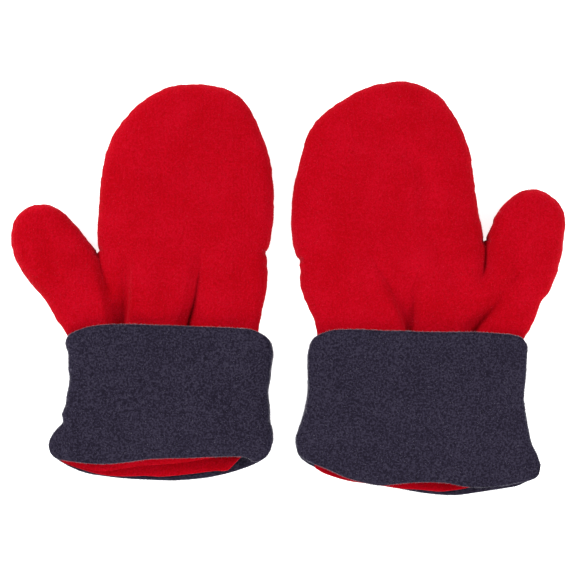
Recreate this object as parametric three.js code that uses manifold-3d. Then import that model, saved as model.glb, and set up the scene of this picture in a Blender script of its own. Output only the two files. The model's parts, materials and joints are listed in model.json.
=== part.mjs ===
// A pair of fleece mittens with flip-top finger caps and deep turned-up cuffs. They lie on their palms, side by
// side, with the thumbs pointing outwards. Millimetres, +Z up, fingers towards +Y, and the origin on the table
// under the middle of the pair. The mitten for the right hand lies on the -X side.
import * as THREE from "three";
import Module from "manifold-3d";

const wasm = await Module();
wasm.setup();

// Driving dimensions
const FLEECE = 2.2; // one layer of fleece
const CUFF = 3.6; // a cuff is fleece folded double
const GAP = 0.3; // between pieces that touch
const SEAM_Z = 12; // height of the side seams above the table
const CROWN_Z = 26; // highest point of the back of the hand; the cap folds about a line just above it
const THUMB_CROWN_Z = 22;
const WRIST_TOP_Z = 20.1; // outside of the wrist, under the cuff
const CUFF_TOP_Z = WRIST_TOP_Z + GAP + CUFF;
const WRIST_UNDER_Z = CUFF + GAP; // underside of the wrist, on top of the cuff's palm side
const PALM_UNDER_Z = 3.2; // underside of the palm, clear of the cap's flap
const THUMB_UNDER_Z = 0.6; // the thumb droops to the table at its tip
const SLIDE_CLEARANCE = 0.7; // around the wrist, inside the cuff
const FLAP = 25; // how far the cap's palm side reaches below the fold line
const FLAP_INSET = 14; // from each side seam to the flap's side edge
const EDGE_TAPE = 4.5; // width of the binding on each free edge
const TAPE_THICKNESS = 2.8;
const PALM_EDGE = 1.2; // from the fold line back to the palm's bound edge
const ELASTIC = { width: 8, thickness: 1, belowCuffTop: 10 };
const TIP_ROUND = 30; // length over which the crown comes down to the fingertips
const THUMB_TIP_ROUND = 18; // the same for the thumb
const UNDER_ROUND = 12; // the same for the underside
const TIP_BLUNTNESS = 1; // a tip counts as this much longer, so that its last ring stays open
const SQUARE = 3; // superellipse exponent of every cross-section
const UNDER_FULLNESS = 1.1; // how far the underside's curve dips past the flat that it is pressed to
const RISING_RINGS = 3; // rings over which the bag rises from the wrist to the hand
const RING_SIDES = 24;
const HAND_RINGS = 15;
const THUMB_RINGS = 9;
const CUFF_RINGS = 6;
const FAR = 400; // larger than the whole pair
const WRIST_END_Y = -200; // the wrist runs past the mouth, which cuts it off

// Each mitten's edges run from the wrist to the tip, in pairs of points across the mitten.
const RIGHT = {
  name: "right",
  thumbSide: -1,
  hand: {
    left: [
      [-133, -24], [-128, -2], [-120, 22], [-120, 50], [-117, 76],
      [-110, 98], [-97, 115], [-79, 127.5], [-62, 131.5],
    ],
    right: [
      [-18, -24], [-14.5, -2], [-13, 22], [-9, 50], [-10.5, 76],
      [-15.5, 98], [-25, 115], [-40, 127.5], [-56, 131.5],
    ],
    roundFrom: 0.62,
  },
  thumb: {
    left: [[-134, -36], [-147, -20], [-161, 1], [-170.5, 16], [-174.5, 32], [-171, 46], [-158, 53.5]],
    right: [[-75, -20], [-95, 0], [-112, 17], [-120.8, 22.6], [-128.5, 32.5], [-139, 45.5], [-152, 53.8]],
    roundFrom: 0.66,
  },
  cuff: {
    left: [[-139, -20], [-138, -50], [-138.5, -72], [-143, -90], [-150, -102], [-146, -130]],
    right: [[-11, -20], [-10.5, -50], [-12.3, -72], [-11, -90], [-9.5, -102], [-13, -130]],
  },
  cuffTop: -25,
  fold: [[-120, 22], [-13, 22]],
  mouth: { left: [-140, -115], right: [-15, -115], slant: 0.5 },
};
const LEFT = {
  name: "left",
  thumbSide: 1,
  hand: {
    left: [[18, -26], [10.5, -8], [6.5, 17], [2, 44], [3.5, 66], [11, 94], [28, 116], [50, 129], [69, 132.5]],
    right: [[146, -26], [135, 2], [124, 30], [120, 54], [117, 76], [112, 96], [101, 117], [87, 129], [76, 132.5]],
    roundFrom: 0.62,
  },
  thumb: {
    left: [[90, -22], [104, 0], [117, 22], [125, 31.5], [130.5, 45], [139, 57], [151, 63.3]],
    right: [[146, -36], [155, -22], [162, -6], [169, 9], [174.5, 30], [172.5, 50], [157, 63.3]],
    roundFrom: 0.66,
  },
  cuff: {
    left: [[13, -20], [12.3, -50], [12, -72], [8, -90], [5, -101], [8, -138]],
    right: [[150.5, -20], [150, -50], [148.5, -72], [151, -90], [154, -102], [158, -138]],
  },
  cuffTop: -27,
  fold: [[6.5, 17], [124, 31.1]],
  mouth: { left: [8, -116], right: [155, -129], slant: 0.35 },
};

// Materials
const redFleece = new THREE.MeshStandardMaterial({ color: "#c70d21", roughness: 0.95, metalness: 0 });
const navyFleece = new THREE.MeshStandardMaterial({ color: "#312d3d", roughness: 0.95, metalness: 0 });
const redTape = new THREE.MeshStandardMaterial({ color: "#a80b1c", roughness: 0.8, metalness: 0 });
const elastic = new THREE.MeshStandardMaterial({ color: "#e8e6e0", roughness: 0.7, metalness: 0 });

// A quarter round: 0 at distance 0, 1 from distance radius on.
const rounding = (distance, radius) => Math.sqrt(1 - (1 - Math.min(distance / radius, 1)) ** 2);

// Points spaced evenly in parameter along a smooth curve through [x, y] points.
function along(points, count) {
  const flat = points.map(([x, y]) => new THREE.Vector3(x, y, 0));
  return new THREE.CatmullRomCurve3(flat, false, "centripetal").getPoints(count - 1);
}

// The pairs of edge points across a hand or thumb, moved inwards by inset, with the distance left to the tip.
function stationsOf({ left, right, roundFrom }, count, inset) {
  const lefts = along(left, count);
  const rights = along(right, count);
  const middles = lefts.map((l, i) => l.clone().lerp(rights[i], 0.5));
  const roundIndex = Math.round(roundFrom * (count - 1));
  const tip = middles[count - 1];
  return lefts.map((l, i) => {
    const spine = middles[Math.min(i, roundIndex)];
    const inwards = (p) => p.clone().add(spine.clone().sub(p).setLength(inset));
    return { left: inwards(l), right: inwards(rights[i]), toTip: middles[i].distanceTo(tip) + TIP_BLUNTNESS };
  });
}

// One cross-section between two edge points: a superellipse whose underside is pressed flat.
function ring(left, right, top, under) {
  const middle = left.clone().lerp(right, 0.5);
  const half = right.clone().sub(left).multiplyScalar(0.5);
  const power = (x) => Math.sign(x) * Math.abs(x) ** (2 / SQUARE);
  return Array.from({ length: RING_SIDES }, (_, k) => {
    const angle = (2 * Math.PI * k) / RING_SIDES;
    const point = middle.clone().addScaledVector(half, power(Math.cos(angle)));
    const rise = power(Math.sin(angle));
    const dip = SEAM_Z + UNDER_FULLNESS * (SEAM_Z - under) * rise;
    point.z = rise >= 0 ? SEAM_Z + (top - SEAM_Z) * rise : Math.max(under, dip);
    return point;
  });
}

// A closed solid through a list of rings, with a fan over each end.
function loft(rings) {
  const sides = rings[0].length;
  const last = (rings.length - 1) * sides;
  const centre = (r) => r.reduce((sum, p) => sum.add(p), new THREE.Vector3()).divideScalar(sides);
  const points = [...rings.flat(), centre(rings[0]), centre(rings[rings.length - 1])];
  const [startFan, endFan] = [points.length - 2, points.length - 1];
  const faces = [];
  for (let k = 0; k < sides; k++) {
    const next = (k + 1) % sides;
    for (let a = 0; a < last; a += sides) {
      faces.push(a + k, a + sides + k, a + next, a + next, a + sides + k, a + sides + next);
    }
    faces.push(startFan, k, next, endFan, last + next, last + k);
  }
  return solid(new THREE.BufferGeometry().setFromPoints(points).setIndex(faces));
}

function solid(geometry) {
  const vertProperties = new Float32Array(geometry.getAttribute("position").array);
  const triVerts = new Uint32Array(geometry.index.array);
  return new wasm.Manifold(new wasm.Mesh({ numProp: 3, vertProperties, triVerts }));
}

// A box as a solid, with shared corners.
function block(size, centre, turn = new THREE.Quaternion()) {
  const corners = [];
  for (const z of [-0.5, 0.5]) {
    for (const [x, y] of [[-0.5, -0.5], [0.5, -0.5], [0.5, 0.5], [-0.5, 0.5]]) {
      corners.push(new THREE.Vector3(x, y, z).multiply(size).applyQuaternion(turn).add(centre));
    }
  }
  const faces = [0, 3, 2, 0, 2, 1, 4, 5, 6, 4, 6, 7];
  for (let k = 0; k < 4; k++) {
    const next = (k + 1) % 4;
    faces.push(k, next, next + 4, k, next + 4, k + 4);
  }
  return solid(new THREE.BufferGeometry().setFromPoints(corners).setIndex(faces));
}

// Everything on the side of a plane that its normal points to.
function beyond(point, normal) {
  const turn = new THREE.Quaternion().setFromUnitVectors(new THREE.Vector3(0, 0, 1), normal.clone().normalize());
  const centre = point.clone().addScaledVector(normal.clone().normalize(), FAR);
  return block(new THREE.Vector3(2 * FAR, 2 * FAR, 2 * FAR), centre, turn);
}

function mesh(name, shape, material) {
  const { vertProperties, triVerts } = shape.getMesh();
  const geometry = new THREE.BufferGeometry();
  geometry.setAttribute("position", new THREE.BufferAttribute(new Float32Array(vertProperties), 3));
  geometry.setIndex(new THREE.BufferAttribute(new Uint32Array(triVerts), 1));
  geometry.computeVertexNormals();
  const made = new THREE.Mesh(geometry, material);
  made.name = name;
  return made;
}

// The straight wrist below a hand's first ring, moved inwards by inset.
function wristRings({ hand }, inset, top, under) {
  const left = new THREE.Vector3(hand.left[0][0] + inset, hand.left[0][1], 0);
  const right = new THREE.Vector3(hand.right[0][0] - inset, hand.right[0][1], 0);
  const atEnd = (p) => p.clone().setY(WRIST_END_Y);
  return [ring(atEnd(left), atEnd(right), top, under), ring(left, right, top, under)];
}

// The bag of one mitten, wrist to fingertips, moved inwards by inset. Its underside goes from wristUnder to under.
function handBag(spec, inset, wristUnder, under) {
  const rings = stationsOf(spec.hand, HAND_RINGS, inset).slice(1).map(({ left, right, toTip }, i) => {
    const risen = Math.min((i + 1) / RISING_RINGS, 1);
    const crown = WRIST_TOP_Z + (CROWN_Z - WRIST_TOP_Z) * risen;
    const floor = wristUnder + (under - wristUnder) * risen;
    const top = SEAM_Z + (crown - SEAM_Z) * rounding(toTip, TIP_ROUND) - inset;
    return ring(left, right, top, SEAM_Z - (SEAM_Z - floor) * rounding(toTip, UNDER_ROUND) + inset);
  });
  return loft([...wristRings(spec, inset, WRIST_TOP_Z - inset, wristUnder + inset), ...rings]);
}

// The bag of the thumb, from inside the hand to its tip. It ends above the cuff.
function thumbBag(spec, inset) {
  const stations = stationsOf(spec.thumb, THUMB_RINGS, inset);
  const rings = stations.map(({ left, right, toTip }, i) => {
    const droop = Math.max(0, (2 * i) / (stations.length - 1) - 1);
    const floor = PALM_UNDER_Z + (THUMB_UNDER_Z - PALM_UNDER_Z) * droop;
    const top = SEAM_Z + (THUMB_CROWN_Z - SEAM_Z) * rounding(toTip, THUMB_TIP_ROUND) - inset;
    return ring(left, right, top, SEAM_Z - (SEAM_Z - floor) * rounding(toTip, UNDER_ROUND) + inset);
  });
  const aboveCuff = new THREE.Vector3(0, spec.cuffTop + GAP + inset, 0);
  return loft(rings).intersect(beyond(aboveCuff, new THREE.Vector3(0, 1, 0)));
}

// The cutting planes of one mitten.
function planesOf({ fold, mouth, cuffTop }) {
  const up = new THREE.Vector3(0, 0, 1);
  const foldStart = new THREE.Vector3(fold[0][0], fold[0][1], 0);
  const foldAxis = new THREE.Vector3(fold[1][0] - fold[0][0], fold[1][1] - fold[0][1], 0).normalize();
  const fingers = up.clone().cross(foldAxis);
  const mouthMiddle = new THREE.Vector3(0, 0, SEAM_Z);
  mouthMiddle.x = (mouth.left[0] + mouth.right[0]) / 2;
  mouthMiddle.y = (mouth.left[1] + mouth.right[1]) / 2;
  const mouthAcross = new THREE.Vector3(mouth.right[0] - mouth.left[0], mouth.right[1] - mouth.left[1], 0);
  const intoMitten = up.clone().cross(mouthAcross).normalize().addScaledVector(up, -mouth.slant);
  return {
    fingerSide: (offset) => beyond(foldStart.clone().addScaledVector(fingers, offset), fingers),
    wristSide: (offset) => beyond(foldStart.clone().addScaledVector(fingers, offset), fingers.clone().negate()),
    aboveMouth: () => beyond(mouthMiddle, intoMitten),
    underCuffTop: () => beyond(new THREE.Vector3(0, cuffTop, 0), new THREE.Vector3(0, -1, 0)),
    backHalf: () => beyond(new THREE.Vector3(0, 0, SEAM_Z + GAP / 2), up),
    palmHalf: () => beyond(new THREE.Vector3(0, 0, SEAM_Z - GAP / 2), up.clone().negate()),
    band: (from, to) =>
      beyond(new THREE.Vector3(0, from, 0), new THREE.Vector3(0, 1, 0)).intersect(
        beyond(new THREE.Vector3(0, to, 0), new THREE.Vector3(0, -1, 0)),
      ),
  };
}

// The part of the cap that hangs below the fold line on the palm side, as the space it may fill.
function flapSpace(spec, start, end, height) {
  const [a, b] = spec.fold.map(([x, y]) => new THREE.Vector3(x, y, 0));
  const axis = b.clone().sub(a);
  const size = new THREE.Vector3(axis.length() - 2 * FLAP_INSET, end - start, 2 * height);
  const turn = new THREE.Quaternion().setFromAxisAngle(new THREE.Vector3(0, 0, 1), Math.atan2(axis.y, axis.x));
  const centre = new THREE.Vector3(0, (start + end) / 2, 0).applyQuaternion(turn).add(a.lerp(b, 0.5));
  return block(size, centre, turn);
}

// The hand and the cap, each in a back and a palm half, and the bindings of the two free edges between them.
function shellPieces(spec) {
  const cut = planesOf(spec);
  const name = spec.name;
  const handOutside = handBag(spec, 0, WRIST_UNDER_Z, PALM_UNDER_Z).add(thumbBag(spec, 0));
  const handInside = handBag(spec, FLEECE, WRIST_UNDER_Z, PALM_UNDER_Z).add(thumbBag(spec, FLEECE));
  const hand = handOutside.subtract(handInside).intersect(cut.aboveMouth());
  const cap = handBag(spec, 0, 0, 0).subtract(handBag(spec, FLEECE, 0, 0));

  const capRoom = (from) => handBag(spec, -2 * GAP, 0, 0).intersect(cut.fingerSide(from));
  const palmEdge = -PALM_EDGE - EDGE_TAPE;
  const flap = flapSpace(spec, -FLAP, GAP, FLEECE);
  const capPalm = cap.intersect(cut.palmHalf()).intersect(cut.fingerSide(GAP / 2).add(flap));
  return [
    mesh(`${name}_back_of_hand`, hand.intersect(cut.backHalf()).subtract(capRoom(-GAP / 2)), redFleece),
    mesh(`${name}_palm`, hand.intersect(cut.palmHalf()).subtract(capRoom(palmEdge)), redFleece),
    mesh(`${name}_cap_back`, cap.intersect(cut.backHalf()).intersect(cut.fingerSide(GAP / 2)), redFleece),
    mesh(`${name}_cap_palm`, capPalm, redFleece),
    mesh(`${name}_palm_edge_binding`, palmBinding(spec, cut, palmEdge), redTape),
    mesh(`${name}_cap_edge_binding`, flapSpace(spec, -FLAP - GAP - EDGE_TAPE, -FLAP - GAP, TAPE_THICKNESS)
      .intersect(beyond(new THREE.Vector3(0, 0, 0), new THREE.Vector3(0, 0, 1))), redTape),
  ];
}

// A tape over the palm's free edge, a little thicker than the fleece, from side seam to side seam.
function palmBinding(spec, cut, palmEdge) {
  const proud = (TAPE_THICKNESS - FLEECE) / 2;
  const around = handBag(spec, -proud, WRIST_UNDER_Z, PALM_UNDER_Z);
  return around
    .subtract(handBag(spec, FLEECE + proud, WRIST_UNDER_Z, PALM_UNDER_Z))
    .intersect(cut.palmHalf())
    .intersect(cut.fingerSide(palmEdge + GAP))
    .intersect(cut.wristSide(-PALM_EDGE));
}

// Two flat elastics sewn inside the wrist, one on the back and one on the palm.
function elasticPieces(spec) {
  const cut = planesOf(spec);
  const outer = FLEECE + GAP;
  const inner = outer + ELASTIC.thickness;
  const tube = (inset) => loft(wristRings(spec, inset, WRIST_TOP_Z - inset, WRIST_UNDER_Z + inset));
  const start = spec.cuffTop - ELASTIC.belowCuffTop;
  const band = tube(outer).subtract(tube(inner)).intersect(cut.band(start - ELASTIC.width, start));
  return [
    mesh(`${spec.name}_wrist_elastic_back`, band.intersect(cut.backHalf()), elastic),
    mesh(`${spec.name}_wrist_elastic_palm`, band.intersect(cut.palmHalf()), elastic),
  ];
}

// The turned-up cuff: a tube around the wrist that flares towards the mouth, in a back half and a palm half.
function cuffPieces(spec) {
  const cut = planesOf(spec);
  const lefts = along(spec.cuff.left, CUFF_RINGS);
  const rights = along(spec.cuff.right, CUFF_RINGS);
  const outside = loft(lefts.map((l, i) => ring(l, rights[i], CUFF_TOP_Z, 0)).reverse());
  const around = -SLIDE_CLEARANCE;
  const inside = loft(wristRings(spec, around, WRIST_TOP_Z + GAP, WRIST_UNDER_Z - GAP));
  const cuff = outside.subtract(inside).intersect(cut.aboveMouth()).intersect(cut.underCuffTop());
  return [
    mesh(`${spec.name}_cuff_back`, cuff.intersect(cut.backHalf()), navyFleece),
    mesh(`${spec.name}_cuff_palm`, cuff.intersect(cut.palmHalf()), navyFleece),
  ];
}

function mitten(spec) {
  const group = new THREE.Group();
  group.add(...shellPieces(spec), ...elasticPieces(spec), ...cuffPieces(spec));
  return group;
}

const pair = new THREE.Group();
pair.add(mitten(RIGHT), mitten(LEFT));

export default pair;
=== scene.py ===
"""A pair of red fleece flip-top mittens with deep turned-up navy cuffs, lying on their palms, thumbs out.

Lengths are in millimetres until a mesh is made. X runs across the pair, Y towards the fingertips, Z up.
Each mitten is sewn from a back, a palm and a cap's palm side. The back is one cloth from the wrist to the
fingertips, so it bends where the cap folds back. The cuff is a tube of doubled fleece round the wrist.
"""
import json
import math

import bpy
import numpy as np
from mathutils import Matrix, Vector
from mathutils.geometry import delaunay_2d_cdt


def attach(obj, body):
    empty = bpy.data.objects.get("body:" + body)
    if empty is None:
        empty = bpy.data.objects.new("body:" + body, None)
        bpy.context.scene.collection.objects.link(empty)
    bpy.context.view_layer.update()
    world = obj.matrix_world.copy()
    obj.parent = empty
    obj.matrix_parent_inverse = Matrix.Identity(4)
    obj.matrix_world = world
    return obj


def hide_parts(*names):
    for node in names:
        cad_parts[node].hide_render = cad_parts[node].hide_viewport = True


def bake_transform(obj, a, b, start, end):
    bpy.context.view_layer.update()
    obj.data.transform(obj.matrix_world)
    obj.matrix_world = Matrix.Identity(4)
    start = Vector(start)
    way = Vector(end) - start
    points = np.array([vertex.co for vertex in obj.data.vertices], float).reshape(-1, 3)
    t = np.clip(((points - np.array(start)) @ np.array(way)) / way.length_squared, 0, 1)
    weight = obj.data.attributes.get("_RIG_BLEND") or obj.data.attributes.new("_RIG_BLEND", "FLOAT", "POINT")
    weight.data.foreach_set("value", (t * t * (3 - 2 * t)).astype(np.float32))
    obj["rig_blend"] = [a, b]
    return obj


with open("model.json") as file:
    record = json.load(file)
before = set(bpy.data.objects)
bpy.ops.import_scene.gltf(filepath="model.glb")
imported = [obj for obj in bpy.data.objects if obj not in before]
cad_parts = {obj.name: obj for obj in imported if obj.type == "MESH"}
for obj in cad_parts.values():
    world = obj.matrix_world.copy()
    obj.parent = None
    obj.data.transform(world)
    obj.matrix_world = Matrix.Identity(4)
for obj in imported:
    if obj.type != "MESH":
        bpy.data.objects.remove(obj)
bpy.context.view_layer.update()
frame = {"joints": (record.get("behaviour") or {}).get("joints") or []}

MM = 0.001
FINE = 1.15  # spacing of the points of a cloth that shows
PALM_FINE = 1.8  # the same on the palm side
COARSE = 3.2  # the same inside the cuff
SEAM_ROWS = (0.28, 0.8, 1.6, 2.6)  # extra rows of points beside a seam, at these distances from it
CREASE_ROWS = (0, 0.5, 1.1, 1.8, -0.5, -1.1, -1.8)  # the same on and beside a crease
SEAM_WANDER = 0.28  # how far a seam strays from its line
FLEECE = 2.0
CUFF_THICKNESS = 3.7
SEAM_Z = 12.0
SEAM_GAP = 0.46  # from the seam's height to each cloth's surface, which rounds off into the seam
CROWN = 13.0  # how far the back stands above the side seams
WRIST_CROWN = 7.8
MOUTH_SLOPE = (84, 112)  # the stretch, in -Y, over which the hand's tube gets flatter towards its mouth
MOUTH_SEAM_DIP = 5.2
MOUTH_CROWN_DIP = 2.6
CUFF_CROWN_DIP = 1.4  # the back is lower inside the cuff, and so leaves it room to slide
TIP_CROWN_DIP = 2.0
CUFF_TOP_Z = 24.2
CUFF_SLOPE = (70, 116)  # as MOUTH_SLOPE, for the cuff
CUFF_SEAM_DIP = 4.2
CUFF_CROWN_FALL = 6.2
WRIST_Y = -27.0  # the cuff's folded top edge
CAP_BEND = 15.0  # the stretch of the cap, from the fold line on, that bends as it folds back
FLAP = 25.0  # how far the cap's palm side reaches past the fold line, over the palm
FLAP_INSET = 14.0  # from the side seams to the flap's sides
FLAP_CORNER = 11.0
TAPE = 4.6
TAPE_HEIGHT = FLEECE + 0.9
FLAP_TAPE_HEIGHT = FLEECE + 0.75
PALM_EDGE = -1.4 - TAPE / 2  # the palm's free edge, measured from the fold line towards the fingertips
EDGE_STEP = 1.4  # spacing of the points on a free edge
STITCH_SPACING = 3.1
STITCH_LENGTH = 2.1
ELASTIC_Y = WRIST_Y - 13
ELASTIC_WIDTH = 8.0
ELASTIC_THICKNESS = 0.9
ELASTIC_UNDER_CLOTH = 1.1  # from the cloth's inner surface to the middle of the elastic

# The outlines of the two mittens, in millimetres:
# - seams: the side seams in three stretches, from the mouth on the -X side round to the mouth on the +X side.
# - red_front and red_back: the red cloth's edge at the mouth, on the back and on the palm side.
# - cuff_left, cuff_right, cuff_top: the cuff's sides and its folded top edge.
# - cuff_front and cuff_back: its edge at the mouth, on the back and on the palm side.
# - folds: a line running towards the wrist, the depth at each of its points, the width to its west and its east
#   (along the whole line or at each point), and its kind.
RIGHT = {
    "name": "right",
    "thumb_is_left": True,
    "seams": [
        [(-146.6, -112), (-143, -106.4), (-138, -99), (-134, -88), (-132, -55), (-133.5, -38), (-139.8, -29),
         (-146.6, -19), (-151.8, -9.5), (-160.8, 1), (-168, 11), (-173, 21), (-174.6, 32), (-172.8, 42),
         (-166, 50), (-155, 53.1), (-145.8, 51), (-139.2, 45.6), (-130.2, 35.4), (-122.8, 26), (-119.8, 22.4)],
        [(-119.8, 22.4), (-120.2, 34), (-119.2, 56), (-116, 81), (-110.4, 96.6), (-99.2, 111.6),
         (-86.6, 121.7), (-74, 127.4), (-58.6, 129), (-43, 127.2), (-31.6, 122), (-22.4, 110.5),
         (-15.8, 95.5), (-11, 81), (-8.7, 58), (-9.6, 38), (-11.4, 27.5), (-13.5, 21.8)],
        [(-13.5, 21.8), (-12.9, 14), (-12.7, 7), (-13.6, -2), (-15.6, -12), (-17.8, -24), (-19.5, -38),
         (-19.5, -80), (-23, -96), (-31, -110)],
    ],
    "red_front": [(-150, -107.6), (-144, -107.9), (-140, -109.4), (-136.5, -110.8), (-129, -113),
                  (-122, -114.7), (-116.6, -115.2), (-105, -113.7), (-93, -111.8), (-78, -110.9),
                  (-68, -109.9), (-59, -108.7), (-49, -106.8), (-39, -105), (-25, -104)],
    "red_back": [(-150, -107.4), (-145, -107.9), (-141.5, -109.8), (-130, -114), (-119.3, -117),
                 (-109.7, -118.2), (-100.2, -118.3), (-90.4, -118), (-80.6, -118.5), (-61.4, -116.8),
                 (-46, -114.9), (-38.7, -114.7), (-34.5, -111), (-30.5, -106.9), (-25, -102)],
    "cuff_left": [(-139.9, -34), (-138.2, -40), (-138, -50), (-137.2, -57), (-138.5, -65), (-139.9, -74),
                  (-142, -80), (-141.3, -85), (-145.5, -90), (-149.3, -95.5), (-150.6, -100)],
    "cuff_right": [(-10.4, -34), (-9.5, -40), (-10.8, -50), (-11.4, -57), (-12.6, -65), (-11.7, -75),
                   (-11.4, -85), (-10, -91), (-9.5, -96), (-10.1, -100)],
    "cuff_top": [(-139.9, -34), (-139, -31.2), (-136.6, -29.3), (-128, -25.6), (-118, -23.7), (-100, -23),
                 (-80, -23.6), (-62, -24.2), (-43, -24.9), (-33, -25.5), (-23, -26.3), (-16.5, -28.6),
                 (-12, -31.4), (-10.4, -34)],
    "cuff_front": [(-150.6, -100), (-149.8, -103.6), (-146, -107), (-139, -108.4), (-132, -109.4),
                   (-121.6, -110.4), (-112.6, -110.4), (-100, -109.3), (-88, -107.7), (-78, -107.1),
                   (-62, -106.7), (-46, -106.2), (-34.8, -105.9), (-26, -106.5), (-20.5, -109.2),
                   (-14.6, -107.8), (-11, -104), (-10.1, -100)],
    "cuff_back": [(-150.6, -100), (-149.4, -104.6), (-146, -108.2), (-141, -111.4), (-133.8, -114.8),
                  (-126.6, -117.2), (-114.5, -119.1), (-105, -120.2), (-90.4, -121.1), (-77.5, -121.6),
                  (-70, -121.6), (-50.8, -119.8), (-36.3, -116.7), (-25.2, -113), (-17.5, -109.6),
                  (-11.6, -104.6), (-10.1, -100)],
    "folds": [
        ([(-119.9, 23.6), (-118.8, 17), (-117, 9), (-114.4, 1), (-111.6, -6)],
         [3.4, 4.6, 4.4, 2.6, 0], 3.4, 4.4, "crease"),
        ([(-108, 24), (-107.5, 12), (-107, 0), (-106.4, -12), (-106.2, -24), (-106.4, -36), (-106.4, -62)],
         [1.2, 3.8, 5.4, 6, 6.4, 6, 0], [10.5, 10, 9.5, 7.5, 6, 5, 5],
         [8, 9.2, 8.6, 7.2, 5.6, 5, 5], "trough"),
        ([(-98.6, 25), (-98.9, 10), (-99.4, -4), (-101, -18), (-102.6, -28), (-103, -38), (-103, -58)],
         [0, 0.8, 1.5, 1.9, 2.2, 2, 0], 4.6, 2.6, "crease"),
        ([(-53, 34), (-54.4, 20), (-56.2, 8.3), (-59.4, -9.8), (-63, -23), (-64, -38), (-64, -62)],
         [0, 1.6, 3.4, 4.8, 6, 5.8, 0], 4, 4.6, "crease"),
        ([(-53, 38), (-56, 14), (-62, -24), (-63, -38), (-63, -58)], [0, 1.1, 2.2, 1.6, 0], 9, 11, "soft"),
        ([(-34, 24), (-29, 12), (-27, -2)], [0, 0.9, 0], 6, 6, "soft"),
        ([(-155, 42), (-149, 22), (-142, 4), (-128, -14)], [0.4, 1.6, 1.6, 0.5], 7, 7, "soft"),
        ([(-105, 74), (-62, 70), (-22, 76)], [0.4, 2, 0.6], 9, 9, "soft"),
        ([(-110, 88), (-70, 90), (-20, 88)], [-0.4, -1.1, -0.4], 8, 8, "soft"),
        ([(-84, 34), (-86, 12), (-86, -14)], [0, -1.2, -0.8], 9, 9, "soft"),
    ],
    "seed": 3,
}
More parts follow.
